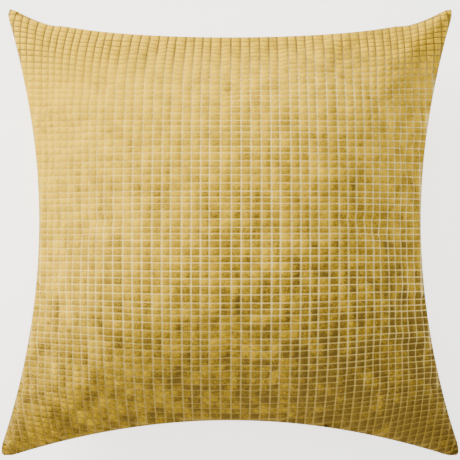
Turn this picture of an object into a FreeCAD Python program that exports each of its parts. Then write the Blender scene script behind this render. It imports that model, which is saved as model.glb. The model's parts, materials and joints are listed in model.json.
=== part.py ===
"""Square throw pillow: zipped velvet cover with a stuffed insert, lying on its back.

Frame: +Z out of the front face, +Y towards the zipped edge, origin under the centre of the
pillow on the surface that it lies on. Millimetres.
"""

import FreeCAD, Part
import Sketcher
import math
import os
import re

doc = FreeCAD.newDocument("throw_pillow")

# ---------------------------------------------------------------- driving dimensions

SIZES = {
    # outline of the cover at its seam: four edges bowed inwards between blunt corner tips
    "waist_half": 189.5,
    "tip_half": 229,
    "tip_blunting": 5.3,
    "tip_sharpness": 8,
    # the zip tape holds its edge further out and straighter, and the ears turn up past its ends
    "zip_edge_out": 4.5,
    "ear_return": 17,
    "ear_sharpness": 8,
    "zip_edge_fade": 4,
    # crown of each face above the seam plane
    "seam_height": 69,
    "crown": 76,
    "profile_power": 2.7,
    # cover cloth
    "cloth": 1.5,
    "allowance": 12,
    "allowance_at_tip": 17.5,
    # an inset line of stitches stands this many times further in at the corner tips
    "tip_inset_ratio": 1.4,
    # gap between the cover and the insert, and the insert's own cloth
    "ease": 0.4,
    "ease_at_tip": 0.6,
    "lining": 0.8,
    "lining_allowance": 9,
    "lining_allowance_at_tip": 13,
    # sewing threads
    "thread": 0.6,
    "seam_stitch_inset": 1.2,
    "overlock_inset": 10.2,
    "tape_stitch_inset": 8,
    # zipper: its parts bend along the zipped edge, about a centre outside the pillow
    "edge_radius": 1410,
    "degrees_per_radian": 57.29578,
    "tape_angle": 13.96,
    "channel_angle": 14.16,
    "channel_out": 4,
    "channel_reach": 13.4,
    "coil_near": 0.45,
    "coil_far": 2.3,
    "coil_out": 0.2,
    "tape_out": 1.9,
    "tape_thick": 0.6,
    "tape_far": 3.3,
    "tape_reach": 11.2,
    "hem_out": 0.4,
    "hem_thick": 1.1,
    "hem_reach": 9,
    # slider and pull tab
    "slider_angle": 6.46,
    "slider_length": 8,
    "plate_thick": 1,
    "plate_half": 3.1,
    "plate_out": 1.1,
    "inner_plate_half": 2.4,
    "inner_plate_in": 2.8,
    "inner_plate_thick": 0.8,
    "plate_rounding": 0.4,
    "flange_thick": 0.5,
    "flange_in": 1.6,
    "post_half": 0.3,
    "post_length": 2,
    "crown_width": 1.2,
    "crown_length": 5,
    "crown_height": 2,
    "crown_thick": 0.5,
    "pivot_height": 0.75,
    "tab_bar_radius": 0.45,
    "tab_length": 16,
    "tab_half": 2.6,
    "tab_thick": 0.8,
    "tab_eye_half": 1,
    "tab_eye_end": 3.4,
    "tab_window_start": 10.5,
    "tab_window_end": 14,
    "tab_window_half": 1.3,
    # stops
    "stop_length": 2.2,
    "stop_gap": 0.5,
    "stop_far": 2.6,
    # labels
    "label_thick": 0.3,
    "care_label_length": 32,
    "care_label_out": 5,
    "care_label_turn": 3.13,
    "insert_label_length": 24,
    "insert_label_out": 5.4,
    "insert_label_in": 15,
    # the insert's seam, and the stretch of it that is closed after stuffing
    "insert_seam_inset": 16.2,
    "closing_length": 150,
}

sheet = doc.addObject("Spreadsheet::Sheet", "Sizes")
for row, (alias, value) in enumerate(SIZES.items(), start=1):
    sheet.set(f"A{row}", alias)
    sheet.set(f"B{row}", str(value))
    sheet.setAlias(f"B{row}", alias)
doc.recompute()


def size(alias):
    """A driving dimension as a plain number."""
    return float(sheet.get(alias))


def bound(text):
    """An expression on the sheet, written with the bare names of its cells."""
    return re.sub(r"[a-z]\w*", r"Sizes.\g<0>", text)


def number(text):
    """The value that such an expression has now."""
    return float(sheet.evalExpression(bound(text)))


EDGE_CENTRE_Y = size("waist_half") + size("zip_edge_out") + size("edge_radius")
Z_AXIS = FreeCAD.Vector(0, 0, 1)
SLIDER_END = "(slider_length / 2 + stop_gap)"
COIL_ANGLE = f"2 * (slider_angle + degrees_per_radian * {SLIDER_END} / edge_radius)"
STOP_ANGLE = (f"slider_angle + degrees_per_radian * ({SLIDER_END} + stop_length / 2)"
              " / edge_radius")


# ---------------------------------------------------------------- building blocks

def body_at_edge(label, turn_deg=0):
    """A body whose local +Y points from the edge's centre of curvature into the pillow."""
    body = doc.addObject("PartDesign::Body", "Body_" + label)
    body.Label = label
    turn = FreeCAD.Rotation(Z_AXIS, 180 + turn_deg)
    body.Placement = FreeCAD.Placement(FreeCAD.Vector(0, EDGE_CENTRE_Y, 0), turn)
    return body


def plane_of(body, role):
    return next(f for f in body.Origin.OriginFeatures if f.Role == role)


def sketch_on(body, role, name):
    sketch = body.newObject("Sketcher::SketchObject", name)
    sketch.AttachmentSupport = [(plane_of(body, role), "")]
    sketch.MapMode = "FlatFace"
    return sketch


def add_polygon(sketch, corners):
    """A closed polygon: each corner is a pair of expressions, measured from the origin."""
    points = [FreeCAD.Vector(number(x), number(y), 0) for x, y in corners]
    first = sketch.GeometryCount
    count = len(points)
    for i, point in enumerate(points):
        sketch.addGeometry(Part.LineSegment(point, points[(i + 1) % count]), False)
    for i, (x, y) in enumerate(corners):
        edge = first + i
        following = first + (i + 1) % count
        constrain(sketch, "Coincident", edge, 2, following, 1)
        for kind, text in (("DistanceX", x), ("DistanceY", y)):
            index = constrain(sketch, kind, -1, 1, edge, 1, number(text))
            sketch.setExpression(f"Constraints[{index}]", bound(text))


def constrain(sketch, *terms):
    return sketch.addConstraint(Sketcher.Constraint(*terms))


def rectangle(x_low, x_high, y_low, y_high):
    return [(x_low, y_low), (x_high, y_low), (x_high, y_high), (x_low, y_high)]


def add_revolution(body, name, corners, angle):
    """Turn a section, drawn as (distance from the centre, height), evenly to both sides."""
    sketch = sketch_on(body, "YZ_Plane", name + "_section")
    add_polygon(sketch, corners)
    revolution = body.newObject("PartDesign::Revolution", name)
    revolution.Profile = sketch
    revolution.ReferenceAxis = (sketch, ["V_Axis"])
    revolution.Midplane = True
    revolution.setExpression("Angle", bound(angle))
    sketch.Visibility = False
    return revolution


def add_pad(body, name, role, corners, length):
    """Pad a section evenly to both sides of an origin plane."""
    sketch = sketch_on(body, role, name + "_section")
    add_polygon(sketch, corners)
    pad = body.newObject("PartDesign::Pad", name)
    pad.Profile = sketch
    pad.Midplane = True
    pad.setExpression("Length", bound(length))
    return pad


def boolean(kind, label, base, tools):
    result = doc.addObject("Part::" + kind, label)
    result.Label = label
    if kind == "MultiFuse":
        result.Shapes = [base, *tools]
    else:
        result.Base = base
        result.Tool = tools[0] if len(tools) == 1 else boolean("MultiFuse", label + "_tools",
                                                               tools[0], tools[1:])
    return result


# ---------------------------------------------------------------- domes

GRID = 14
TICKS = [2 * i / GRID - 1 for i in range(GRID + 1)]


def profile(s):
    """Height across the middle: 1 at the centre, 0 at the seam, and steepest there."""
    return 1 - abs(s) ** size("profile_power")


def outline_point(s, t, waist, tip):
    """Where (s, t) of the square lies inside the bowed outline."""
    bow = tip - waist
    pull = size("tip_blunting") * abs(s * t) ** size("tip_sharpness")
    x = s * (waist + bow * t * t) - math.copysign(pull, s)
    y = t * (waist + bow * s * s) - math.copysign(pull, t)
    return x, y + zip_edge_shift(s) * max(t, 0) ** size("zip_edge_fade")


def zip_edge_shift(s):
    """How far the zipped edge lies outside the even bow of the other three."""
    out, back = size("zip_edge_out"), size("ear_return")
    return out - (out + back) * s * s + back * abs(s) ** size("ear_sharpness")


def dome_height(s, t):
    """Share of the crown at (s, t): the two profiles blended so that the corners stay full."""
    across, along = profile(s), profile(t)
    if across * along == 0:
        return 0.0
    return (across ** -2 + along ** -2 - 1) ** -0.5


def dome(name, waist, tip, crown, side):
    """Closed half of a pillow shape on the seam plane, with side +1 above it and -1 below."""
    seam = size("seam_height")
    rows = []
    for s in TICKS:
        spots = [outline_point(s, t, waist, tip) for t in TICKS]
        rows.append([FreeCAD.Vector(x, y, seam + side * crown * dome_height(s, t))
                     for (x, y), t in zip(spots, TICKS)])
    skin = Part.BSplineSurface()
    skin.interpolate(rows)
    top = skin.toShape()
    floor = Part.Face(Part.Wire(Part.sortEdges(top.Edges)[0]))
    solid = Part.Solid(Part.makeShell([top, floor]))
    if solid.Volume < 0:
        solid.reverse()
    feature = doc.addObject("Part::Feature", name)
    feature.Shape = solid
    return feature


def trimmed(name, source, height):
    """The part of a back dome above a level: what the surface below presses flat."""
    block = doc.addObject("Part::Box", name + "_keep")
    block.Length = block.Width = 4 * size("tip_half")
    block.Height = 2 * size("seam_height")
    corner = -2 * size("tip_half")
    block.Placement.Base = FreeCAD.Vector(corner, corner, height)
    return boolean("Common", name, source, [block])


def nested_dome(name, inset, inset_at_tip, drop, side):
    """A dome that lies inside the cover's outer face by the given amounts."""
    shape = dome(name, size("waist_half") - inset, size("tip_half") - inset_at_tip,
                 size("crown") - drop, side)
    return shape if side > 0 else trimmed(name + "_flat", shape, drop)


def ring(name, inset, inset_at_tip, width, low, high):
    """A flat closed band that follows the outline, such as a line of stitching."""
    outer = outline_wire(inset, inset_at_tip)
    inner = outline_wire(inset + width, inset_at_tip + size("tip_inset_ratio") * width)
    face = Part.makeFace([outer, inner], "Part::FaceMakerBullseye")
    feature = doc.addObject("Part::Feature", name)
    feature.Shape = face.extrude(FreeCAD.Vector(0, 0, high - low))
    feature.Placement.Base = FreeCAD.Vector(0, 0, low)
    return feature


def outline_wire(inset, inset_at_tip):
    waist = size("waist_half") - inset
    tip = size("tip_half") - inset_at_tip
    edges = []
    for side in ((1, None), (None, 1), (-1, None), (None, -1)):
        spots = []
        for tick in TICKS:
            s, t = (tick if fixed is None else fixed for fixed in side)
            x, y = outline_point(s, t, waist, tip)
            spots.append(FreeCAD.Vector(x, y, 0))
        curve = Part.BSplineCurve()
        curve.interpolate(spots)
        edges.append(curve.toShape())
    return Part.Wire(Part.sortEdges(edges)[0])


# ---------------------------------------------------------------- zipper

def section(out_low, out_high, level_low, level_high, side):
    """A rectangle beside the seam: distances into the pillow and away from the seam plane."""
    sign = "+" if side > 0 else "-"
    low, high = (f"seam_height {sign} {level}" for level in (level_low, level_high))
    return rectangle(f"edge_radius + {out_low}", f"edge_radius + {out_high}", low, high)


def zip_tape(label, side):
    """One woven tape: a band that faces outwards, then turns in under the hem."""
    body = body_at_edge(label)
    sign = "+" if side > 0 else "-"
    level = f"seam_height {sign} "
    outer, inner = "edge_radius + tape_out", "edge_radius + tape_out + tape_thick"
    corners = [
        (outer, level + "coil_near"),
        (inner, level + "coil_near"),
        (inner, level + "(tape_far - tape_thick)"),
        ("edge_radius + tape_reach", level + "(tape_far - tape_thick)"),
        ("edge_radius + tape_reach", level + "tape_far"),
        (outer, level + "tape_far"),
    ]
    add_revolution(body, label + "_turn", corners, "tape_angle")
    return body


def zip_coil(label, side):
    """One row of coil, as its outer envelope along the tape's free edge."""
    body = body_at_edge(label)
    corners = section("coil_out", "tape_out", "coil_near", "coil_far", side)
    add_revolution(body, label + "_turn", corners, COIL_ANGLE)
    return body


def hem(label, side):
    """The folded cloth above or below the chain, which covers the tape."""
    body = body_at_edge(label)
    corners = section("hem_out", "hem_reach", "tape_far", "(tape_far + hem_thick)", side)
    add_revolution(body, label + "_turn", corners, "channel_angle")
    return body


def channel(label, side):
    """Room for the chain, the tape and the slider's inner plate in the cover's edge."""
    body = body_at_edge(label)
    corners = section("(0 - channel_out)", "channel_reach", "0", "tape_far", side)
    add_revolution(body, label + "_turn", corners, "channel_angle")
    return body


def tape_stitching(label, side):
    """The line of stitches that holds a tape to its hem."""
    body = body_at_edge(label)
    corners = section("tape_stitch_inset", "(tape_stitch_inset + thread)", "tape_far",
                      "(tape_far + thread)", side)
    add_revolution(body, label + "_turn", corners, "tape_angle")
    return body


def slider_body():
    """Outer plate with its flanges, the post that parts the coils, and the inner plate."""
    body = body_at_edge("zip_slider", number("slider_angle"))
    base, top = "seam_height - ", "seam_height + "
    outer, skin = "edge_radius - plate_out", "edge_radius - plate_out + plate_thick"
    flange = "edge_radius + flange_in"
    wall = "(plate_half - flange_thick)"
    corners = [
        (outer, base + "plate_half"),
        (flange, base + "plate_half"),
        (flange, base + wall),
        (skin, base + wall),
        (skin, top + wall),
        (flange, top + wall),
        (flange, top + "plate_half"),
        (outer, top + "plate_half"),
    ]
    add_pad(body, "outer_plate", "YZ_Plane", corners, "slider_length")
    post = rectangle(skin, "edge_radius + inner_plate_in", base + "post_half", top + "post_half")
    add_pad(body, "post", "YZ_Plane", post, "post_length")
    inner = rectangle("edge_radius + inner_plate_in",
                      "edge_radius + inner_plate_in + inner_plate_thick",
                      base + "inner_plate_half", top + "inner_plate_half")
    add_pad(body, "inner_plate", "YZ_Plane", inner, "slider_length")
    doc.recompute()
    square = body.Tip
    corner_edges = [f"Edge{i}" for i, edge in enumerate(square.Shape.Edges, start=1)
                    if is_plate_corner(edge)]
    fillet = body.newObject("PartDesign::Fillet", "rounded_corners")
    fillet.Base = (square, corner_edges)
    fillet.setExpression("Radius", bound("plate_rounding"))
    return body


def is_plate_corner(edge):
    """Whether an edge of the slider runs through the thickness of a plate at its corner."""
    middle = edge.CenterOfMass
    across = abs(middle.z - size("seam_height"))
    at_end = math.isclose(abs(middle.x), size("slider_length") / 2, abs_tol=1e-6)
    at_side = any(math.isclose(across, size(half), abs_tol=1e-6)
                  for half in ("plate_half", "inner_plate_half"))
    return at_end and at_side


def block(name, spans):
    """A box in the slider's frame: low and high expressions along its X, Y and Z."""
    box = doc.addObject("Part::Box", name)
    for prop, axis, (low, high) in zip(("Length", "Width", "Height"), "xyz", spans):
        box.setExpression(prop, bound(f"({high}) - ({low})"))
        box.setExpression(f"Placement.Base.{axis}", bound(low))
    return box


def even(half, centre="0"):
    return f"{centre} - {half}", f"{centre} + {half}"


def placed_at_slider(shape):
    """Swing a finished piece from the middle of the edge to the slider's resting place."""
    turn = FreeCAD.Rotation(Z_AXIS, 180 + number("slider_angle"))
    shape.Placement = FreeCAD.Placement(FreeCAD.Vector(0, EDGE_CENTRE_Y, 0), turn)
    return shape


def slider_crown():
    """The arch over the outer plate that the pull tab's bar turns under."""
    foot = "edge_radius - plate_out"
    arch = block("crown_block", (
        even("crown_length / 2"),
        (f"{foot} - crown_height", foot),
        even("crown_width / 2", "seam_height"),
    ))
    window = block("crown_window", (
        even("(crown_length / 2 - crown_thick)"),
        (f"{foot} - crown_height + crown_thick", foot),
        even("crown_width", "seam_height"),
    ))
    return placed_at_slider(boolean("Cut", "slider_crown", arch, [window]))


def pull_tab():
    """Flat tab with an eye and a grip window; its round bar turns under the crown."""
    middle = "edge_radius - plate_out - pivot_height"
    plate = block("tab_plate", (
        ("0", "tab_length"),
        even("tab_thick / 2", middle),
        even("tab_half", "seam_height"),
    ))
    eye = block("tab_eye", (
        ("tab_bar_radius", "tab_eye_end"),
        even("tab_thick", middle),
        even("tab_eye_half", "seam_height"),
    ))
    window = block("tab_window", (
        ("tab_window_start", "tab_window_end"),
        even("tab_thick", middle),
        even("tab_window_half", "seam_height"),
    ))
    bar = doc.addObject("Part::Cylinder", "tab_bar")
    bar.setExpression("Radius", bound("tab_bar_radius"))
    bar.setExpression("Height", bound("2 * tab_half"))
    bar.setExpression("Placement.Base.y", bound(middle))
    bar.setExpression("Placement.Base.z", bound("seam_height - tab_half"))
    pierced = boolean("Cut", "tab_pierced", plate, [eye, window])
    return placed_at_slider(boolean("MultiFuse", "pull_tab", pierced, [bar]))


def stops():
    """Crimped stops at the closed end, one on each coil, and a bridge at the open end."""
    pieces = []
    for name, side in (("front_top_stop", 1), ("back_top_stop", -1)):
        body = body_at_edge(name, number(STOP_ANGLE))
        corners = section("(0 - coil_out)", "tape_out", "coil_near", "stop_far", side)
        add_pad(body, name + "_block", "YZ_Plane", corners, "stop_length")
        pieces.append(body)
    top = boolean("MultiFuse", "zip_top_stops", pieces[0], pieces[1:])
    bottom = body_at_edge("zip_bottom_stop", -number(STOP_ANGLE))
    corners = rectangle("edge_radius - coil_out", "edge_radius + tape_out",
                        "seam_height - stop_far", "seam_height + stop_far")
    add_pad(bottom, "bottom_stop_block", "YZ_Plane", corners, "stop_length")
    return top, bottom


def label_on_edge(name, turn_deg, out, reach, level_low, level_high, length):
    """A small flat label whose short side points into the pillow."""
    body = body_at_edge(name, turn_deg)
    corners = rectangle(f"edge_radius + {out}", f"edge_radius + {reach}",
                        f"seam_height + {level_low}", f"seam_height + {level_high}")
    add_pad(body, name + "_cloth", "YZ_Plane", corners, length)
    return body


# ---------------------------------------------------------------- the pillow

def stitch_ring(name, inset, inset_at_tip):
    half = size("thread") / 2
    seam = size("seam_height")
    return ring(name, inset, inset_at_tip, size("thread"), seam - half, seam + half)


def cover():
    """Two shaped panels with their turned-in allowances, their seam and the zipper."""
    tapes = {side: zip_tape(name, side) for name, side in
             (("front_zip_tape", 1), ("back_zip_tape", -1))}
    coils = [zip_coil("front_zip_coil", 1), zip_coil("back_zip_coil", -1)]
    channels = {side: channel(name, side) for name, side in
                (("front_channel", 1), ("back_channel", -1))}
    stitching = {side: tape_stitching(name, side) for name, side in
                 (("front_tape_stitching", 1), ("back_tape_stitching", -1))}
    threads = []
    for name, alias in (("edge_seam_thread", "seam_stitch_inset"),
                        ("overlock_thread", "overlock_inset")):
        whole = stitch_ring(name + "_whole", size(alias), size("tip_inset_ratio") * size(alias))
        threads.append(boolean("Cut", name, whole, list(channels.values())))
    panels = []
    for name, side in (("front_panel", 1), ("back_panel", -1)):
        outer = nested_dome(name + "_outside", 0, 0, 0, side)
        inner = nested_dome(name + "_inside", size("allowance"), size("allowance_at_tip"),
                            size("cloth"), side)
        hemmed = boolean("MultiFuse", name + "_hemmed", outer, [hem(name + "_hem", side)])
        taken = [inner, channels[side], stitching[side], *threads]
        panels.append(boolean("Cut", name, hemmed, taken))
    care = label_on_edge("care_label", number("care_label_turn"), "care_label_out",
                         "tape_reach", "tape_thick - tape_far",
                         "tape_thick - tape_far + label_thick", "care_label_length")
    return [*panels, *threads, *tapes.values(), *coils, *stitching.values(), *stops(), care]


def insert():
    """Stuffed insert: two lining panels, the seam between them, the fill and a blank label."""
    inset = size("allowance") + size("ease")
    inset_at_tip = size("allowance_at_tip") + size("ease_at_tip")
    drop = size("cloth") + size("ease")
    deep = inset + size("lining_allowance")
    deep_at_tip = inset_at_tip + size("lining_allowance_at_tip")
    deep_drop = drop + size("lining")
    label = label_on_edge("insert_label", 0, "insert_label_out", "insert_label_in",
                          "(0 - label_thick / 2)", "label_thick / 2", "insert_label_length")
    into_lining = size("insert_seam_inset") - inset
    whole = stitch_ring("insert_seam_whole", size("insert_seam_inset"),
                        inset_at_tip + size("tip_inset_ratio") * into_lining)
    closing_box = doc.addObject("Part::Box", "closing_stretch")
    closing_box.setExpression("Length", bound("closing_length"))
    closing_box.setExpression("Width", bound("tip_half"))
    closing_box.setExpression("Height", bound("2 * seam_height"))
    closing_box.Placement.Base = FreeCAD.Vector(-size("closing_length") / 2,
                                                -1.5 * size("tip_half"), 0)
    seam = boolean("Cut", "insert_seam_thread", whole, [closing_box])
    closing = boolean("Common", "insert_closing_thread", whole, [closing_box])
    panels = []
    cores = []
    for name, side in (("insert_front_panel", 1), ("insert_back_panel", -1)):
        outer = nested_dome(name + "_outside", inset, inset_at_tip, drop, side)
        core = nested_dome(name + "_inside", deep, deep_at_tip, deep_drop, side)
        panels.append(boolean("Cut", name, outer, [core, label, seam, closing]))
        cores.append(core)
    fill = boolean("MultiFuse", "insert_fill", cores[0], cores[1:])
    fill.Refine = False
    return [*panels, fill, seam, closing, label]


def main():
    parts = [*cover(), slider_body(), slider_crown(), pull_tab(), *insert()]
    doc.recompute()
    failed = [o.Label for o in doc.Objects if {"Invalid", "Error"} & set(o.State)]
    failed += [o.Label for o in parts if o.Shape.isNull() or not o.Shape.isValid()
               or not o.Shape.Solids]
    if failed:
        raise RuntimeError("failed: " + ", ".join(failed))
    os.makedirs("parts", exist_ok=True)
    for part in parts:
        part.Shape.exportStep(f"parts/{part.Label}.step")
        print(f"{part.Label:24s} {part.Shape.Volume:12.1f} mm3  {len(part.Shape.Solids)} solid(s)")


main()
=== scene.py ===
"""Square throw pillow in checked cut velvet, dressed around its CAD frame."""

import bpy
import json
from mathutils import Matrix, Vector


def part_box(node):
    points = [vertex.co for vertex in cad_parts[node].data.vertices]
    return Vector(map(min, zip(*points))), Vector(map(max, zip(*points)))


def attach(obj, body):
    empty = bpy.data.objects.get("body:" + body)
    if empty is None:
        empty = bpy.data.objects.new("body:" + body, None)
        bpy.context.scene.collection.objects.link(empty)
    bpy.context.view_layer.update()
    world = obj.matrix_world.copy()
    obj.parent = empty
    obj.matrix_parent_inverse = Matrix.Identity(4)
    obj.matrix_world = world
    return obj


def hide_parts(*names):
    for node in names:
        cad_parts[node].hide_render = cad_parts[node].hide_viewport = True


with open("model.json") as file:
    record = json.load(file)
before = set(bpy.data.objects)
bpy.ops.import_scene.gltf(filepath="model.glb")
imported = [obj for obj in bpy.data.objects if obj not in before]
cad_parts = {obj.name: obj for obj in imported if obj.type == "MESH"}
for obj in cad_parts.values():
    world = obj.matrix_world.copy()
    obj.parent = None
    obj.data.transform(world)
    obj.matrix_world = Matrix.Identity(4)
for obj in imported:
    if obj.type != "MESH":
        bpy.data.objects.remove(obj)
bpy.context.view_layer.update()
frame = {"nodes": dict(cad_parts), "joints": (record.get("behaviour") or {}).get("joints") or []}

import json
import math

import bpy
import numpy as np
from mathutils import Vector

# ------------------------------------------------------------------ sizes, in metres

MM = 0.001
COVER_LOW, COVER_HIGH = (np.array(corner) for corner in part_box("front_panel"))
SEAM_Z = float(COVER_LOW[2])
CROWN = float(COVER_HIGH[2]) - SEAM_Z
TIP_BLUNTING = 5.3 * MM
TIP_SHARPNESS = 8
TIP = float(COVER_HIGH[0]) + TIP_BLUNTING
WAIST = TIP - 39.5 * MM
ZIP_EDGE_OUT = 4.5 * MM
EAR_RETURN = 17 * MM
EAR_SHARPNESS = 8
ZIP_EDGE_FADE = 4
TIP_ROUNDING = 0.09
# how far the stuffed tips stand proud of the sewing line
EAR_PROUD_X = 6 * MM
EAR_PROUD_TOP = 12.5 * MM
EAR_PROUD_LOW = 5 * MM
PROFILE_POWER = 2.7
TIP_INSET_RATIO = 1.4

ZIP = next(j for j in frame["joints"] if j["name"] == "zip_slider_travel")
ZIP_CENTRE = np.array(ZIP["pos_m"])
ZIP_RADIUS = float(ZIP_CENTRE[1]) - WAIST - ZIP_EDGE_OUT
ZIP_HALF_LENGTH = 171.9 * MM
COIL_HALF_LENGTH = 163.4 * MM
COIL_DEPTH, COIL_LEVEL = 1.05 * MM, 1.38 * MM
COIL_ACROSS, COIL_UP = 0.68 * MM, 0.74 * MM
COIL_PITCH, COIL_POINTS_PER_TURN = 1.1 * MM, 9
COIL_WIRE_RADIUS = 0.17 * MM
THREAD_RADIUS = 0.28 * MM
# sections along the zip, as depth into the pillow and height from the seam plane, in mm
TAPE_SECTION = ((1.9, 0.45), (2.5, 0.45), (2.5, 2.7), (5, 2.7), (8, 2.75), (11, 2.7),
                (11.2, 3.0), (11, 3.25), (8, 3.3), (5, 3.3), (2.1, 3.3), (1.9, 3.1))
CARE_SECTION = ((5, -2.6), (8, -2.55), (11, -2.6), (11, -2.45), (8, -2.4), (5, -2.45))
TAG_SECTION = ((5.4, -0.15), (10, -0.1), (15, -0.15), (15, 0.1), (10, 0.15), (5.4, 0.1))
CARE_LABEL_TURN = math.radians(3.13)
# the hems along the zip lie above and below its chain, and the front one covers it
HEM_LIFT = 3.8 * MM
HEM_FADE = 9 * MM
HEM_PROUD = 1.8 * MM
HEM_EASE = 30 * MM
HEM_THICKNESS = 0.3 * MM
# the turned-in allowance: how far inside the seam each of its rows lies, and how far off it
HEM_ROWS = ((0.5, 0.0), (3, 0.5), (6, 0.6), (10.5, 0.5))
HEM_SPACING = 4 * MM

# velvet check: widths of its columns and heights of its rows, in one repeat of the weave
COLUMNS = np.array([10.5, 10.5, 9.5, 9.5, 10, 9.5, 8.5, 10.5, 9, 9, 8.5]) * MM
ROWS = np.array([8, 8, 7, 7, 8, 6.5, 7.5, 7.5, 6.5, 6, 8, 8, 7.5, 6, 6]) * MM
COLUMN_START = -20 * MM
ROW_START = 24 * MM
COLUMN_LINE = 1.2 * MM
ROW_LINE = 0.7 * MM
PILE_SHOULDER = 0.5 * MM
PILE_HEIGHT = 0.9 * MM
RIB_PITCH = 1.3 * MM
CLOTH_REACH = 300 * MM
EAR_STRETCH = 1.3
# how much higher the rows are at the sides than in the middle
ROW_BOW = 13 * MM
# how far in from a seam the columns lean, and by how much at its ends
LEAN_DEPTH = 60 * MM
LEAN_UPPER_LEFT, LEAN_UPPER_RIGHT, LEAN_LOWER = 10 * MM, 3 * MM, 7 * MM

# how far the corners hang below the middles of the edges
DROOP = 7 * MM

# the insert's lining and its fill are smaller than the cover by these, at waist, tip and crown
LINING_INSETS = (12.4 * MM, 18.1 * MM, 3.2 * MM)
LINING_FLOOR = 3.0 * MM
FILL_INSETS = (21.4 * MM, 31.1 * MM, 7 * MM)
FILL_FLOOR = 6.5 * MM
INSERT_SEAM_INSET = 16.2 * MM
HAND_SEWN_HALF = 75 * MM


# ------------------------------------------------------------------ the pillow's shape

def outline(s, t, waist=WAIST, tip=TIP):
    """Where (s, t) of the square lies inside the bowed outline."""
    bow = tip - waist
    pull = TIP_BLUNTING * np.abs(s * t) ** TIP_SHARPNESS
    x = s * (waist + bow * t * t) - np.copysign(pull, s)
    y = t * (waist + bow * s * s) - np.copysign(pull, t)
    return x, y + zip_edge_shift(s) * np.maximum(t, 0) ** ZIP_EDGE_FADE


def cover_outline(s, t, waist=WAIST, tip=TIP):
    """The bowed outline with rounded, stuffed tips."""
    x, y = outline(*rounded_tips(s, t), waist, tip)
    corner = np.abs(s * t)
    x = x + np.sign(s) * EAR_PROUD_X * corner ** 10
    y = y + np.where(t > 0, EAR_PROUD_TOP * corner ** 6, -EAR_PROUD_LOW * corner ** 10)
    return x, y


def zip_edge_shift(s):
    """How far the zipped edge lies outside the even bow of the other three."""
    return (ZIP_EDGE_OUT - (ZIP_EDGE_OUT + EAR_RETURN) * s * s
            + EAR_RETURN * np.abs(s) ** EAR_SHARPNESS)


def square_place(x, y):
    """The (s, t) that outline() takes to (x, y), found by repeated correction."""
    s, t = x / WAIST, y / WAIST
    for _ in range(60):
        s, t = (np.clip(q, -1.15, 1.15) for q in (s, t))
        x_now, y_now = outline(s, t)
        s, t = s + 0.7 * (x - x_now) / (WAIST * 1.1), t + 0.7 * (y - y_now) / (WAIST * 1.1)
    return s, t


def rounded_tips(s, t):
    """The square with its corners rounded, as cloth turned right side out leaves them."""
    flat = 1 - TIP_ROUNDING
    a, b = (np.clip((np.abs(q) - flat) / TIP_ROUNDING, 0, 1) for q in (s, t))
    at_tip = a * b > 0
    s_round = np.sign(s) * (flat + TIP_ROUNDING * a * np.sqrt(1 - b * b / 2))
    t_round = np.sign(t) * (flat + TIP_ROUNDING * b * np.sqrt(1 - a * a / 2))
    return np.where(at_tip, s_round, s), np.where(at_tip, t_round, t)


def dome_share(s, t):
    """Share of the crown's height at (s, t)."""
    across = np.maximum(1 - np.abs(s) ** PROFILE_POWER, 1e-9)
    along = np.maximum(1 - np.abs(t) ** PROFILE_POWER, 1e-9)
    return (across ** -2 + along ** -2 - 1) ** -0.5


def surface(s, t, side, waist=WAIST, tip=TIP, crown=CROWN, floor=0.0):
    """Points of one face of the pillow; the back is pressed flat where it lies."""
    z = seam_level(s, t) + side * crown * dome_share(s, t)
    x, y = cover_outline(s, t, waist, tip)
    if side < 0:
        z = soft_floor(z, floor)
    return np.stack([x, y, z], axis=-1)


def seam_level(s, t):
    """Height of the seam plane, which sinks a little towards the corners."""
    return SEAM_Z - DROOP * np.abs(s * t) ** 3


def soft_floor(z, floor, blend=5 * MM):
    """z, eased onto a level instead of passing below it."""
    over = z - floor
    return floor + 0.5 * (over + np.sqrt(over * over + blend * blend)) - 0.5 * blend * np.exp(
        -np.maximum(over, 0) / blend)


# ------------------------------------------------------------------ mesh helpers

def new_mesh(name, points, faces, material, smooth=True):
    """A mesh object that rides on the cover."""
    mesh = bpy.data.meshes.new(name)
    mesh.from_pydata([tuple(map(float, p)) for p in points], [],
                     [tuple(map(int, f)) for f in faces])
    mesh.polygons.foreach_set("use_smooth", [smooth] * len(mesh.polygons))
    mesh.update()
    piece = bpy.data.objects.new(name, mesh)
    bpy.context.scene.collection.objects.link(piece)
    mesh.materials.append(material)
    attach(piece, "cover")
    return piece


def grid_quads(index):
    """The quads between the vertex numbers of a grid."""
    quads = np.stack([index[:-1, :-1], index[1:, :-1], index[1:, 1:], index[:-1, 1:]], -1)
    return quads.reshape(-1, 4)


def ring_faces(rings, sides):
    """The faces that join rings of vertices into a tube, with a cap at each end."""
    faces = []
    for i in range(rings - 1):
        for k in range(sides):
            following = (k + 1) % sides
            faces.append((i * sides + k, i * sides + following,
                          (i + 1) * sides + following, (i + 1) * sides + k))
    faces.append(tuple(range(sides))[::-1])
    faces.append(tuple((rings - 1) * sides + k for k in range(sides)))
    return faces


def vertex_normals(points, quads):
    """Area-weighted normals at the vertices of a quad mesh."""
    a, b, c, d = (points[quads[:, k]] for k in range(4))
    face = np.cross(c - a, d - b)
    normals = np.zeros_like(points)
    for k in range(4):
        np.add.at(normals, quads[:, k], face)
    length = np.linalg.norm(normals, axis=1, keepdims=True)
    return normals / np.maximum(length, 1e-12)


# ------------------------------------------------------------------ velvet check

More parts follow.
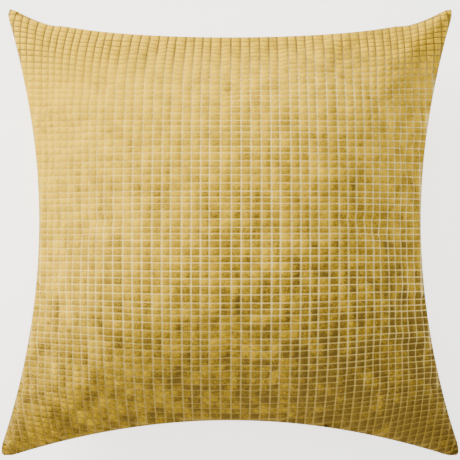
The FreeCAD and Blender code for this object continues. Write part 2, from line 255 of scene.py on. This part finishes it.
def line_ticks(widths, start, line):
    """Places of the grid lines across the cloth, the pile's height there, and their cells."""
    at = start - widths.sum() * math.ceil((start + CLOTH_REACH) / widths.sum())
    places, pile, cells = [], [], []
    count = 0
    half = line / 2
    while at < CLOTH_REACH:
        width = widths[count % len(widths)]
        edge = half + PILE_SHOULDER
        for offset, height in ((0, 0), (half, 0), (edge, 1), (width - edge, 1), (width - half, 0)):
            places.append(at + offset)
            pile.append(height)
            cells.append(count)
        at += width
        count += 1
    return np.array(places), np.array(pile, float), np.array(cells)


def flat_to_place(flat):
    """Distance from the middle of the pillow at which a line of the flat cloth lies.

    Along the middle of a face the cloth climbs the dome; past the waist its slope stays even.
    """
    place = np.linspace(0, 1.3 * TIP, 600)
    slope = CROWN / WAIST * PROFILE_POWER * (place / WAIST) ** (PROFILE_POWER - 1)
    stretch = np.where(place < WAIST, np.sqrt(1 + slope * slope), EAR_STRETCH)
    run = np.concatenate([[0], np.cumsum(0.5 * (stretch[1:] + stretch[:-1]) * np.diff(place))])
    return np.sign(flat) * np.interp(np.abs(flat), run, place)


def lean(x, y):
    """How far the cloth is pulled sideways next to the upper and lower seams."""
    seam = WAIST + (TIP - WAIST) * np.minimum((x / TIP) ** 2, 1.1)
    upper = np.clip(1 - (seam - y) / LEAN_DEPTH, 0, 1.6) ** 2
    lower = np.clip(1 - (seam + y) / LEAN_DEPTH, 0, 1.6) ** 2
    left = np.clip(-x / WAIST, 0, 1)
    right = np.clip(x / WAIST, 0, 1)
    return (upper * (LEAN_UPPER_LEFT * left - LEAN_UPPER_RIGHT * right)
            + lower * LEAN_LOWER * (left - right))


def velvet_panel(name, side, material, shift):
    """One face of the cover: raised velvet blocks between sunken satin lines."""
    u, pile_u, cell_u = line_ticks(COLUMNS, COLUMN_START, COLUMN_LINE)
    v, pile_v, cell_v = line_ticks(ROWS, ROW_START, ROW_LINE)
    x0, y0 = np.meshgrid(flat_to_place(u), flat_to_place(v), indexing="ij")
    bow = ROW_BOW * np.abs(x0 / WAIST) ** PROFILE_POWER
    s, t = square_place(x0 + lean(x0, y0), y0 + bow)
    pile = np.minimum(pile_u[:, None], pile_v[None, :])
    knot = (1 - pile_u[:, None]) * (1 - pile_v[None, :])
    tones = np.random.default_rng(7 + side).random((cell_u[-1] + 1, cell_v[-1] + 1))
    tone = tones[cell_u[:, None], cell_v[None, :]]
    quads = grid_quads(np.arange(s.size).reshape(s.shape))
    s, t = s.ravel(), t.ravel()
    inside = (np.abs(s[quads].mean(1)) < 1) & (np.abs(t[quads].mean(1)) < 1)
    quads = quads[inside]
    s, t = snap_to_seam(s, t, quads)
    if side < 0:
        quads = quads[:, ::-1]
    used, inverse = np.unique(quads, return_inverse=True)
    quads = inverse.reshape(quads.shape)
    s, t, pile = s[used], t[used], pile.ravel()[used]
    points = surface(s, t, side)
    normals = vertex_normals(points, quads)
    points = points + normals * sampled(shift, s, t)[:, None]
    points = lift_at_zip(points, t, side)
    fade = np.clip((1 - np.maximum(np.abs(s), np.abs(t))) * WAIST / (2 * MM), 0, 1)
    points = points + normals * (PILE_HEIGHT * fade * (pile - 1))[:, None]
    points[:, 2] = np.maximum(points[:, 2], 0.0)
    piece = new_mesh(name, points, quads, material)
    flat = np.stack(np.meshgrid(u, v, indexing="ij"), -1).reshape(-1, 2)[used]
    store_uv(piece, flat)
    for key, values in (("pile", pile), ("knot", knot.ravel()[used]),
                        ("tone", tone.ravel()[used])):
        layer = piece.data.attributes.new(key, "FLOAT", "POINT")
        layer.data.foreach_set("value", values)
    return piece


def snap_to_seam(s, t, quads):
    """Move the loose rim of the trimmed cloth onto the seam."""
    edges = np.concatenate([quads[:, [k, (k + 1) % 4]] for k in range(4)])
    edges = np.sort(edges, axis=1)
    unique, count = np.unique(edges, axis=0, return_counts=True)
    rim = np.unique(unique[count == 1])
    s, t = s.copy(), t.copy()
    far_s = np.abs(s[rim]) >= np.abs(t[rim])
    s[rim[far_s]] = np.sign(s[rim[far_s]])
    t[rim[~far_s]] = np.sign(t[rim[~far_s]])
    return np.clip(s, -1, 1), np.clip(t, -1, 1)


def in_zip_band(x, ease=8 * MM):
    """1 along the zipped stretch of the upper edge, easing to 0 past its ends."""
    half_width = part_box("front_zip_tape")[1][0]
    along = np.clip((half_width + ease / 2 - np.abs(x)) / ease, 0, 1)
    return along * along * (3 - 2 * along)


def lift_at_zip(points, t, side):
    """Part the two faces along the zipped edge, and let the front one cover the chain."""
    inward = np.maximum(1 - t, 0) * WAIST
    points = points.copy()
    near_edge = np.exp(-inward / HEM_FADE)
    points[:, 2] += side * HEM_LIFT * in_zip_band(points[:, 0]) * near_edge
    if side > 0:
        points[:, 1] += HEM_PROUD * in_zip_band(points[:, 0], HEM_EASE) * near_edge
    return points


def store_uv(piece, flat):
    """Keep each vertex's place on the flat cloth as UVs in metres."""
    mesh = piece.data
    uv = mesh.uv_layers.new(name="cloth")
    loops = np.zeros(len(mesh.loops), int)
    mesh.loops.foreach_get("vertex_index", loops)
    uv.data.foreach_set("uv", flat[loops].ravel())


# ------------------------------------------------------------------ cloth simulation

SIM_CELLS = 44
SIM_FRAMES = 22
SIM_SPREAD = 0.985
SHIFT_LOW, SHIFT_HIGH = -0.3 * MM, 5 * MM


def sampled(field, s, t):
    """Values of a field over the square, held on an even grid, at the places (s, t)."""
    last = field.shape[0] - 1
    i, j = (np.clip((q + 1) / 2 * last, 0, last - 1e-6) for q in (s, t))
    i0, j0 = i.astype(int), j.astype(int)
    a, b = i - i0, j - j0
    a, b = a * a * (3 - 2 * a), b * b * (3 - 2 * b)
    return ((1 - a) * (1 - b) * field[i0, j0] + a * (1 - b) * field[i0 + 1, j0]
            + (1 - a) * b * field[i0, j0 + 1] + a * b * field[i0 + 1, j0 + 1])


def blown_up(side):
    """How far each point of a face moves outwards when the stuffed cloth is let go.

    The cloth is held at its seam, has a little spare length, and is pressed out by the fill.
    """
    grid = np.linspace(-1, 1, SIM_CELLS + 1)
    s, t = np.meshgrid(grid, grid, indexing="ij")
    start = surface(s, t, side).reshape(-1, 3)
    index = np.arange(s.size).reshape(s.shape)
    quads = grid_quads(index)[:, ::side]
    mesh = bpy.data.meshes.new("loose_cloth")
    mesh.from_pydata(start.tolist(), [], quads.tolist())
    cloth = bpy.data.objects.new("loose_cloth", mesh)
    bpy.context.scene.collection.objects.link(cloth)
    rim = index[(np.abs(s) == 1) | (np.abs(t) == 1)]
    cloth.vertex_groups.new(name="seam").add(rim.tolist(), 1.0, "REPLACE")
    modifier = cloth.modifiers.new("cloth", "CLOTH")
    settings = modifier.settings
    settings.vertex_group_mass = "seam"
    settings.quality = 6
    settings.mass = 0.02
    settings.tension_stiffness = settings.compression_stiffness = 40
    settings.shear_stiffness = 8
    settings.bending_stiffness = 0.4
    settings.air_damping = 4
    settings.shrink_min = SIM_SPREAD - 1
    settings.use_pressure = True
    settings.uniform_pressure_force = 4
    settings.effector_weights.gravity = 0
    modifier.collision_settings.use_collision = False
    modifier.point_cache.frame_start = 1
    modifier.point_cache.frame_end = SIM_FRAMES
    for frame_number in range(1, SIM_FRAMES + 1):
        bpy.context.scene.frame_set(frame_number)
    bpy.context.view_layer.update()
    shape = cloth.evaluated_get(bpy.context.evaluated_depsgraph_get()).to_mesh()
    ended = np.zeros(3 * s.size)
    shape.vertices.foreach_get("co", ended)
    shift = np.einsum("ij,ij->i", ended.reshape(-1, 3) - start, vertex_normals(start, quads))
    bpy.context.scene.frame_set(1)
    bpy.data.objects.remove(cloth)
    moved = [round(q / MM, 2) for q in (shift.min(), shift.mean(), shift.max())]
    print("cloth moved, in mm:", side, moved)
    return np.clip(shift, SHIFT_LOW, SHIFT_HIGH).reshape(s.shape)


# ------------------------------------------------------------------ lines along the seam

def seam_path(inset, spacing, level=0.0, whole=False):
    """Points round the seam at an inset, from one end of the zip to the other or all round."""
    waist, tip = WAIST - inset, TIP - TIP_INSET_RATIO * inset
    ticks = np.linspace(-1, 1, 400)[:-1]
    ones = np.ones_like(ticks)
    s = np.concatenate([ticks, ones, -ticks, -ones])
    t = np.concatenate([ones, -ticks, -ones, ticks])
    x, y = cover_outline(s, t, waist, tip)
    route = np.stack([x, y, seam_level(s, t) + level], -1)
    if not whole:
        half_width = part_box("front_zip_tape")[1][0] + 3 * MM
        start = int(np.argmax((t == 1) & (x > half_width)))
        route = np.roll(route, -start, axis=0)
        clear = (np.abs(route[:, 0]) > half_width) | (route[:, 1] < 0.5 * waist)
        route = route[clear]
    else:
        route = np.concatenate([route, route[:1]])
    return resampled(route, spacing)


def resampled(route, spacing):
    run = np.concatenate([[0], np.cumsum(np.linalg.norm(np.diff(route, axis=0), axis=1))])
    even = np.linspace(0, run[-1], max(int(run[-1] / spacing), 4))
    return np.stack([np.interp(even, run, route[:, k]) for k in range(3)], -1)


def chain_path(depth, level, spacing, half_length):
    """Points along the zip at a depth into the pillow and a height from the seam plane."""
    radius = ZIP_RADIUS + depth
    half_angle = half_length / ZIP_RADIUS
    count = int(2 * half_angle * radius / spacing)
    angle = np.linspace(half_angle, -half_angle, count)
    return np.stack([radius * np.sin(angle), ZIP_CENTRE[1] - radius * np.cos(angle),
                     np.full(count, SEAM_Z + level)], -1)


def tube(name, path, radius, material, sides=5):
    """A tube along a path, with its own radius at each point, closed at both ends."""
    radius = np.broadcast_to(radius, len(path))
    along = np.gradient(path, axis=0)
    along /= np.linalg.norm(along, axis=1, keepdims=True)
    across = np.cross(along, [0, 0, 1])
    across /= np.maximum(np.linalg.norm(across, axis=1, keepdims=True), 1e-9)
    up = np.cross(across, along)
    turn = 2 * np.pi * np.arange(sides) / sides
    rings = (path[:, None] + radius[:, None, None] * (
        np.cos(turn)[None, :, None] * across[:, None]
        + np.sin(turn)[None, :, None] * up[:, None]))
    return new_mesh(name, rings.reshape(-1, 3), ring_faces(len(path), sides), material)


def stitches(name, route, length, thickness, material, spacing):
    """A sewn thread: it swells between the holes and dips into each of them."""
    run = np.arange(len(route)) * spacing
    swell = np.abs(np.sin(np.pi * run / length))
    return tube(name, route, thickness * (0.45 + 0.55 * swell), material)


def swept_band(name, corners, half_length, steps, material, wave=0.0):
    """A closed section, as (depth, level) pairs, swept along the zipped edge."""
    corners = np.array(corners) * MM
    half_angle = half_length / ZIP_RADIUS
    angle = np.linspace(half_angle, -half_angle, steps)
    radius = ZIP_RADIUS + corners[:, 0]
    ripple = wave * np.sin(3 * np.pi * angle / half_angle)
    points = np.stack([
        radius[None] * np.sin(angle)[:, None],
        ZIP_CENTRE[1] - radius[None] * np.cos(angle)[:, None],
        SEAM_Z + corners[:, 1][None] + ripple[:, None] * np.ones_like(radius)[None]], -1)
    faces = ring_faces(steps, len(corners))
    return new_mesh(name, points.reshape(-1, 3), faces, material, smooth=False)


# ------------------------------------------------------------------ materials

class Nodes:
    """Short hand for building a node tree."""

    def __init__(self, name):
        self.material = bpy.data.materials.new(name)
        self.material.use_nodes = True
        self.tree = self.material.node_tree
        self.shader = self.tree.nodes["Principled BSDF"]

    def add(self, kind, inputs=(), **settings):
        node = self.tree.nodes.new(kind)
        for key, value in settings.items():
            setattr(node, key, value)
        for key, value in dict(inputs).items():
            if isinstance(value, bpy.types.NodeSocket):
                self.tree.links.new(value, node.inputs[key])
            else:
                node.inputs[key].default_value = value
        return node

    def math(self, operation, a, b=0.0, c=0.0, clamp=False):
        return self.add("ShaderNodeMath", {0: a, 1: b, 2: c}, operation=operation,
                        use_clamp=clamp).outputs[0]

    def mix(self, factor, a, b):
        node = self.add("ShaderNodeMix", data_type="RGBA")
        for socket, value in ((node.inputs[0], factor), (node.inputs[6], a), (node.inputs[7], b)):
            if isinstance(value, bpy.types.NodeSocket):
                self.tree.links.new(value, socket)
            else:
                socket.default_value = value
        return node.outputs[2]

    def noise(self, vector, scale, detail=2.0, rough=0.5):
        return self.add("ShaderNodeTexNoise", {"Vector": vector, "Scale": scale, "Detail": detail,
                                               "Roughness": rough}).outputs["Fac"]

    def set(self, **values):
        for key, value in values.items():
            self.shader.inputs[key.replace("_", " ")].default_value = value

    def link(self, socket, key):
        self.tree.links.new(socket, self.shader.inputs[key])

    def bump(self, height, strength, distance):
        node = self.add("ShaderNodeBump", {"Height": height, "Strength": strength,
                                           "Distance": distance})
        self.link(node.outputs[0], "Normal")


# painted light and shade: the pile's colour in painted shade and in painted light
PILE_DARK_SHADED, PILE_LIGHT_LIT = (0.14, 0.086, 0.014, 1), (0.94, 0.575, 0.006, 1)
# painted highlight and shade: the satin outside its painted highlight, and in painted shade
SATIN_UNLIT, SATIN_SHADED = (0.36, 0.23, 0.035, 1), (0.30, 0.19, 0.030, 1)
# the floats' tints under the painted light
SATIN_GOLD, SATIN_PALE = (0.98, 0.63, 0.02, 1), (0.98, 0.75, 0.21, 1)
# the knots' painted highlight
KNOT_HIGHLIGHT = (0.99, 0.87, 0.45, 1)
# heights on the face where the satin's painted highlight and painted shade begin, and over how far
PAINTED_GLEAM_FROM, PAINTED_GLEAM_OVER = -0.20, 0.14
SHADED_FROM, SHADED_OVER = 0.138, 0.045


def velvet_material(name):
    """Mustard pile with crushed, cell by cell variation over a champagne satin ground.

    The pile's light and shade across the face, and the satin's highlight and shade, are painted
    by place on the pillow: they stay where they are under any light.
    """
    n = Nodes(name)
    cloth = n.add("ShaderNodeUVMap", uv_map="cloth").outputs[0]
    rows = n.add("ShaderNodeSeparateXYZ", {0: cloth}).outputs[1]
    pile, knot, tone = (n.add("ShaderNodeAttribute", attribute_name=key).outputs["Fac"]
                        for key in ("pile", "knot", "tone"))
    place = n.add("ShaderNodeTexCoord").outputs["Object"]
    spot = n.add("ShaderNodeSeparateXYZ", {0: place})
    crushed = n.noise(place, 11.0, 4.0, 0.62)
    pressed = n.noise(place, 55.0, 3.0, 0.6)
    along = n.add("ShaderNodeVectorMath", {0: place, 1: (1.0, 0.22, 1.0)},
                  operation="MULTIPLY").outputs[0]
    streaks = n.noise(along, 90.0, 2.0, 0.5)
    speck = n.noise(place, 650.0, 2.0, 0.6)
    ribs = n.math("SINE", n.math("MULTIPLY", rows, 2 * math.pi / RIB_PITCH))
    # painted light and shade: the pile is lighter to the upper left, darker to the lower right
    painted_light_and_crush = n.math("MULTIPLY_ADD", spot.outputs[0], -1.1, 0.50)
    painted_light_and_crush = n.math("MULTIPLY_ADD", spot.outputs[1], 2.4, painted_light_and_crush)
    for unevenness, amount in ((crushed, 0.45), (pressed, 0.85), (streaks, 0.8), (tone, 0.25),
                               (speck, 1.2)):
        painted_light_and_crush = n.math("MULTIPLY_ADD", n.math("SUBTRACT", unevenness, 0.5), amount, painted_light_and_crush)
    painted_light_and_crush = n.math("MULTIPLY_ADD", ribs, 0.06, painted_light_and_crush, clamp=True)
    velvet = n.mix(painted_light_and_crush, PILE_DARK_SHADED, PILE_LIGHT_LIT)
    # painted highlight: the satin is painted bright across the middle and duller below
    painted_gleam = n.math("MULTIPLY_ADD", spot.outputs[1], 1 / PAINTED_GLEAM_OVER, -PAINTED_GLEAM_FROM / PAINTED_GLEAM_OVER,
                   clamp=True)
    lit = n.math("MULTIPLY_ADD", n.math("SUBTRACT", pressed, 0.5), 1.5, 0.75, clamp=True)
    lit = n.math("MULTIPLY", lit, painted_gleam)
    # painted light: its floats are golden at the upper left and paler to the lower right
    painted_light_tint = n.math("MULTIPLY_ADD", spot.outputs[0], 2.6, 0.75)
    painted_light_tint = n.math("MULTIPLY_ADD", spot.outputs[1], -2.2, painted_light_tint, clamp=True)
    floats = n.mix(painted_light_tint, SATIN_GOLD, SATIN_PALE)
    satin = n.mix(lit, SATIN_UNLIT, floats)
    # painted highlight: knots where the lines cross are painted light inside the satin's highlight
    painted_knot_highlight = n.math("MULTIPLY", n.math("MULTIPLY", knot, painted_gleam), painted_light_tint)
    satin = n.mix(painted_knot_highlight, satin, KNOT_HIGHLIGHT)
    # painted shade: the floats are dark next to the upper seam
    shaded = n.math("MULTIPLY_ADD", spot.outputs[1], 1 / SHADED_OVER, -SHADED_FROM / SHADED_OVER,
                    clamp=True)
    satin = n.mix(shaded, satin, SATIN_SHADED)
    raised = n.math("MULTIPLY_ADD", pile, 1.7, -0.4, clamp=True)
    n.link(n.mix(raised, satin, velvet), "Base Color")
    n.link(n.math("MULTIPLY_ADD", raised, 0.35, 0.5), "Roughness")
    n.set(Sheen_Weight=0.1, Sheen_Roughness=0.4, Sheen_Tint=(1.0, 0.66, 0.06, 1),
          Specular_IOR_Level=0.06)
    fibre = n.math("ADD", n.math("MULTIPLY", speck, 0.7), n.math("MULTIPLY", ribs, 0.25))
    n.bump(n.math("MULTIPLY", fibre, n.math("MULTIPLY_ADD", raised, 0.8, 0.2)), 0.7, 0.4 * MM)
    return n.material


def woven_material(name, colour, pitch, sheen=0.2, roughness=0.8):
    """Plain weave: crossing threads, uneven in tone."""
    n = Nodes(name)
    place = n.add("ShaderNodeTexCoord").outputs["Object"]
    spot = n.add("ShaderNodeSeparateXYZ", {0: place})
    warp, weft = (n.math("SINE", n.math("MULTIPLY", spot.outputs[k], 2 * math.pi / pitch))
                  for k in (0, 1))
    weave = n.math("MULTIPLY", warp, weft)
    slub = n.noise(place, 160.0, 3.0, 0.6)
    shade = n.math("MULTIPLY_ADD", weave, 0.18, slub, clamp=True)
    n.link(n.mix(shade, tuple(0.72 * c for c in colour) + (1,), tuple(colour) + (1,)),
           "Base Color")
    n.set(Roughness=roughness, Sheen_Weight=sheen, Sheen_Roughness=0.5)
    n.bump(n.math("MULTIPLY_ADD", weave, 0.5, n.math("MULTIPLY", slub, 0.5)), 0.6, 0.15 * MM)
    return n.material


def thread_material(name, colour):
    """Twisted sewing thread: slanting plies and a slight shine."""
    n = Nodes(name)
    place = n.add("ShaderNodeTexCoord").outputs["Object"]
    ply = n.add("ShaderNodeTexWave", {"Vector": place, "Scale": 700.0, "Distortion": 1.5},
                bands_direction="DIAGONAL").outputs["Fac"]
    fluff = n.noise(place, 900.0, 2.0, 0.6)
    shade = n.math("MULTIPLY_ADD", ply, 0.5, n.math("MULTIPLY", fluff, 0.5), clamp=True)
    n.link(n.mix(shade, tuple(0.6 * c for c in colour) + (1,), tuple(colour) + (1,)), "Base Color")
    n.set(Roughness=0.6, Sheen_Weight=0.15)
    n.bump(ply, 0.5, 0.08 * MM)
    return n.material


def painted_material(name, colour):
    """Enamelled zinc: a faintly uneven coat, rubbed where fingers touch it."""
    n = Nodes(name)
    place = n.add("ShaderNodeTexCoord").outputs["Object"]
    rubbed = n.noise(place, 420.0, 4.0, 0.65)
    n.link(n.mix(rubbed, tuple(0.75 * c for c in colour) + (1,), tuple(colour) + (1,)),
           "Base Color")
    n.link(n.math("MULTIPLY_ADD", rubbed, 0.3, 0.25), "Roughness")
    n.set(Coat_Weight=0.4, Coat_Roughness=0.2)
    n.bump(n.noise(place, 1500.0, 2.0, 0.5), 0.2, 0.05 * MM)
    return n.material


def nylon_material(name, colour):
    """Drawn nylon wire of the zip's coils."""
    n = Nodes(name)
    place = n.add("ShaderNodeTexCoord").outputs["Object"]
    streak = n.noise(place, 800.0, 2.0, 0.5)
    n.link(n.mix(streak, tuple(0.8 * c for c in colour) + (1,), tuple(colour) + (1,)),
           "Base Color")
    n.link(n.math("MULTIPLY_ADD", streak, 0.2, 0.28), "Roughness")
    n.bump(streak, 0.25, 0.04 * MM)
    return n.material


def fibre_material(name):
    """Loose polyester fibrefill: white, fluffy, and shaded in its folds."""
    n = Nodes(name)
    place = n.add("ShaderNodeTexCoord").outputs["Object"]
    clumps = n.noise(place, 45.0, 5.0, 0.7)
    hair = n.noise(place, 700.0, 3.0, 0.7)
    n.link(n.mix(clumps, (0.74, 0.74, 0.72, 1), (0.95, 0.95, 0.93, 1)), "Base Color")
    n.set(Roughness=0.95, Sheen_Weight=0.5, Sheen_Roughness=0.6)
    n.bump(n.math("MULTIPLY_ADD", hair, 0.4, clumps), 0.8, 1.2 * MM)
    return n.material


# ------------------------------------------------------------------ stage, light and camera

def stage_and_camera():
    floor = bpy.data.meshes.new("floor")
    half = 6.0
    corners = [(-half, -half, 0), (half, -half, 0), (half, half, 0), (-half, half, 0)]
    floor.from_pydata(corners, [], [(0, 1, 2, 3)])
    ground = bpy.data.objects.new("floor", floor)
    bpy.context.scene.collection.objects.link(ground)
    n = Nodes("floor_paper")
    grain = n.noise(n.add("ShaderNodeTexCoord").outputs["Object"], 90.0)
    n.link(n.mix(grain, (0.90, 0.90, 0.90, 1), (0.93, 0.93, 0.93, 1)), "Base Color")
    n.set(Roughness=0.9, Emission_Color=(1, 1, 1, 1), Emission_Strength=2.2)
    floor.materials.append(n.material)

    world = bpy.data.worlds.new("studio")
    world.use_nodes = True
    world.node_tree.nodes["Background"].inputs[0].default_value = (1.0, 0.99, 0.97, 1)
    world.node_tree.nodes["Background"].inputs[1].default_value = 0.55
    bpy.context.scene.world = world

    add_light("key", place=(-1.7, 1.3, 1.5), power=106, size=1.2)
    add_light("top", place=(0.1, -0.2, 2.6), power=34, size=2.0)

    camera = bpy.data.cameras.new("camera")
    camera.sensor_width = 36
    camera.lens = 205
    eye = bpy.data.objects.new("camera", camera)
    bpy.context.scene.collection.objects.link(eye)
    target = Vector((0, 0, SEAM_Z))
    elevation = math.radians(80)
    distance = 2.6
    back = Vector((0, -math.cos(elevation), math.sin(elevation)))
    eye.location = target + back * distance
    eye.rotation_mode = "QUATERNION"
    eye.rotation_quaternion = (-back).to_track_quat("-Z", "Y")
    bpy.context.scene.camera = eye


def add_light(name, place, power, size):
    light = bpy.data.lights.new(name, "AREA")
    light.energy = power
    light.size = size
    lamp = bpy.data.objects.new(name, light)
    lamp.location = place
    lamp.rotation_mode = "QUATERNION"
    lamp.rotation_quaternion = (Vector((0, 0, 0.05)) - Vector(place)).to_track_quat("-Z", "Y")
    bpy.context.scene.collection.objects.link(lamp)


# ------------------------------------------------------------------ the pillow, dressed

def covers():
    velvet = velvet_material("velvet_check")
    for name, side, node, slot in (("front_cover", 1, "front_panel", "front_velvet"),
                                   ("back_cover", -1, "back_panel", "back_velvet")):
        face = velvet_panel(name, side, velvet, blown_up(side))
        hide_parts(node)
    allowance = woven_material("velvet_backing", (0.50, 0.36, 0.13), 0.7 * MM)
    for name, side, slot in (("front_turning", 1, "front_velvet"),
                             ("back_turning", -1, "back_velvet")):
        turned_in_hem(name, side, allowance)


def turned_in_hem(name, side, material):
    """The seam allowance, folded back inside one face all round."""
    rows = []
    for inset, level in HEM_ROWS:
        path = seam_path(inset * MM, HEM_SPACING, side * level * MM, whole=True)
        rows.append(resampled(path, HEM_SPACING))
    count = min(len(row) for row in rows)
    rows = [row[np.linspace(0, len(row) - 1, count).astype(int)] for row in rows]
    points = np.stack(rows)
    upper = points[..., 1] > 0.5 * WAIST
    points[..., 2] += side * (HEM_LIFT - HEM_THICKNESS) * (in_zip_band(points[..., 0]) * upper)
    if side > 0:
        points[..., 1] += HEM_PROUD * in_zip_band(points[..., 0], HEM_EASE) * upper
    quads = grid_quads(np.arange(len(rows) * count).reshape(len(rows), count))
    piece = new_mesh(name, points.reshape(-1, 3), quads[:, ::side], material)
    thickness = piece.modifiers.new("cloth_thickness", "SOLIDIFY")
    thickness.thickness = HEM_THICKNESS
    thickness.offset = 0
    return piece


def cover_threads():
    thread = thread_material("cover_thread", (0.52, 0.36, 0.11))
    overlock = thread_material("overlocking", (0.62, 0.48, 0.22))
    spacing = 0.5 * MM
    seam = stitches("seam_stitches", seam_path(1.2 * MM, spacing), 2.8 * MM, THREAD_RADIUS, thread,
                    spacing)
    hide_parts("edge_seam_thread")
    loop_spacing, loop_length, loop_width = 0.6 * MM, 3 * MM, 0.9 * MM
    route = seam_path(10.2 * MM, loop_spacing)
    run = np.arange(len(route)) * loop_spacing
    inward = -route * [1, 1, 0]
    inward /= np.linalg.norm(inward, axis=1, keepdims=True)
    sway = loop_width * np.sin(2 * np.pi * run / loop_length)
    loops = tube("overlock_loops", route + inward * sway[:, None], 0.2 * MM, overlock)
    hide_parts("overlock_thread")
    for side, node in ((1, "front_tape_stitching"), (-1, "back_tape_stitching")):
        route = chain_path(8.3 * MM, side * 3.6 * MM, spacing, ZIP_HALF_LENGTH)
        line = stitches(node.replace("stitching", "stitches"), route, 2.5 * MM, THREAD_RADIUS,
                        thread, spacing)
        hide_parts(node)


def zipper():
    tape = woven_material("zip_tape_weave", (0.46, 0.30, 0.07), 0.5 * MM)
    nylon = nylon_material("zip_nylon", (0.47, 0.30, 0.06))
    for side, which in ((1, "front"), (-1, "back")):
        section = [(depth, side * level) for depth, level in TAPE_SECTION][::side]
        band = swept_band(which + "_tape", section, ZIP_HALF_LENGTH, 160, tape)
        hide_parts(which + "_zip_tape")
        line = chain_path(COIL_DEPTH, side * COIL_LEVEL, COIL_PITCH / COIL_POINTS_PER_TURN,
                          COIL_HALF_LENGTH)
        turn = 2 * np.pi * np.arange(len(line)) / COIL_POINTS_PER_TURN
        outward = (ZIP_CENTRE - line) * [1, 1, 0]
        outward /= np.linalg.norm(outward, axis=1, keepdims=True)
        line = line + outward * (COIL_ACROSS * np.cos(turn))[:, None]
        line[:, 2] += COIL_UP * np.sin(turn) * side
        coil = tube(which + "_coil", line, COIL_WIRE_RADIUS, nylon, sides=4)
        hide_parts(which + "_zip_coil")
    enamel = painted_material("mustard_enamel", (0.46, 0.29, 0.05))
    for node, width in (("zip_slider", 0.25), ("slider_crown", 0.12), ("pull_tab", 0.15),
                        ("zip_top_stops", 0.2), ("zip_bottom_stop", 0.2)):
        part = frame["nodes"][node]
        part.data.materials.clear()
        part.data.materials.append(enamel)
        edge = part.modifiers.new("rounded_edges", "BEVEL")
        edge.width = width * MM
        edge.segments = 2
        edge.limit_method = "ANGLE"
        edge.angle_limit = math.radians(40)


def labels():
    satin = woven_material("label_satin", (0.88, 0.86, 0.80), 0.35 * MM, 0.05, 0.45)
    care = swept_band("care_ribbon", CARE_SECTION, 16 * MM, 30, satin, 0.12 * MM)
    turn_about_zip(care, CARE_LABEL_TURN)
    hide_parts("care_label")
    tag = swept_band("insert_tag", TAG_SECTION, 12 * MM, 24, satin, 0.1 * MM)
    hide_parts("insert_label")


def turn_about_zip(piece, angle):
    """Slide a piece along the zipped edge towards +X."""
    points = np.array([v.co for v in piece.data.vertices]) - ZIP_CENTRE
    c, s = math.cos(angle), math.sin(angle)
    x = points[:, 0] * c - points[:, 1] * s
    y = points[:, 0] * s + points[:, 1] * c
    points = np.stack([x, y, points[:, 2]], -1) + ZIP_CENTRE
    piece.data.vertices.foreach_set("co", points.ravel())


def smaller(insets):
    """Waist, tip and crown of a shape that lies inside the cover."""
    return tuple(size - inset for size, inset in zip((WAIST, TIP, CROWN), insets))


def pillow_insert():
    lining = woven_material("insert_percale", (0.86, 0.85, 0.81), 0.6 * MM)
    cotton = thread_material("insert_cotton", (0.85, 0.84, 0.80))
    grid = np.linspace(-1, 1, 101)
    s, t = np.meshgrid(grid, grid, indexing="ij")
    rim = 1 - np.maximum(np.abs(s), np.abs(t))
    along = np.where(np.abs(s) > np.abs(t), t, s)
    pucker, pucker_length = 0.6 * MM, 16 * MM
    gather = (pucker * np.sin(along * WAIST * 2 * np.pi / pucker_length) * np.exp(-rim / 0.06)
              * np.minimum(rim / 0.02, 1))
    for side, which in ((1, "front"), (-1, "back")):
        points = surface(s, t, side, *smaller(LINING_INSETS), LINING_FLOOR)
        points[..., 2] += side * gather
        sheet = grid_mesh(f"insert_{which}_lining", points, lining, side)
        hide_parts(f"insert_{which}_panel")
    fill = stuffing(s, t)
    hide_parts("insert_fill")
    spacing = 0.6 * MM
    route = seam_path(INSERT_SEAM_INSET, spacing, whole=True)
    closed = (np.abs(route[:, 0]) < HAND_SEWN_HALF) & (route[:, 1] < 0)
    start = int(np.argmax(closed))
    last = len(closed) - 1 - int(np.argmax(closed[::-1]))
    sewn = np.concatenate([route[last + 1:-1], route[:start]])
    seam = stitches("insert_seam_stitches", sewn, 3 * MM, THREAD_RADIUS, cotton, spacing)
    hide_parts("insert_seam_thread")
    hand = route[start:last + 1].copy()
    run = np.arange(len(hand)) * spacing
    hand[:, 1] += 1.0 * MM * np.sin(2 * np.pi * run / (6 * MM))
    whip = tube("insert_whip_stitches", hand, 0.26 * MM, cotton)
    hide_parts("insert_closing_thread")


def grid_mesh(name, points, material, side):
    count = points.shape[0]
    quads = grid_quads(np.arange(count * count).reshape(count, count))
    return new_mesh(name, points.reshape(-1, 3), quads[:, ::side], material)


def stuffing(s, t):
    """The fibre body: one closed lumpy lens."""
    lumps = np.zeros_like(s)
    random = np.random.default_rng(3)
    for _ in range(14):
        waves = random.uniform(4, 16, 2)
        phase = random.uniform(0, 2 * np.pi, 2)
        lumps += np.sin(waves[0] * s + phase[0]) * np.sin(waves[1] * t + phase[1])
    lumps *= 0.35 * MM * np.clip((1 - np.maximum(np.abs(s), np.abs(t))) / 0.1, 0, 1)
    faces, points = [], []
    count = s.shape[0]
    index = np.arange(count * count).reshape(count, count)
    rim = (np.abs(s) == 1) | (np.abs(t) == 1)
    lower = np.where(rim, index, index + count * count)
    for side, at in ((1, index), (-1, lower)):
        face = surface(s, t, side, *smaller(FILL_INSETS), FILL_FLOOR)
        face[..., 2] += side * lumps
        points.append(face.reshape(-1, 3))
        faces.append(grid_quads(at)[:, ::side])
    points, faces = np.concatenate(points), np.concatenate(faces)
    used, inverse = np.unique(faces, return_inverse=True)
    return new_mesh("fibre_fill", points[used], inverse.reshape(faces.shape),
                    fibre_material("fibrefill"))


def main():
    stage_and_camera()
    covers()
    cover_threads()
    zipper()
    labels()
    pillow_insert()


main()
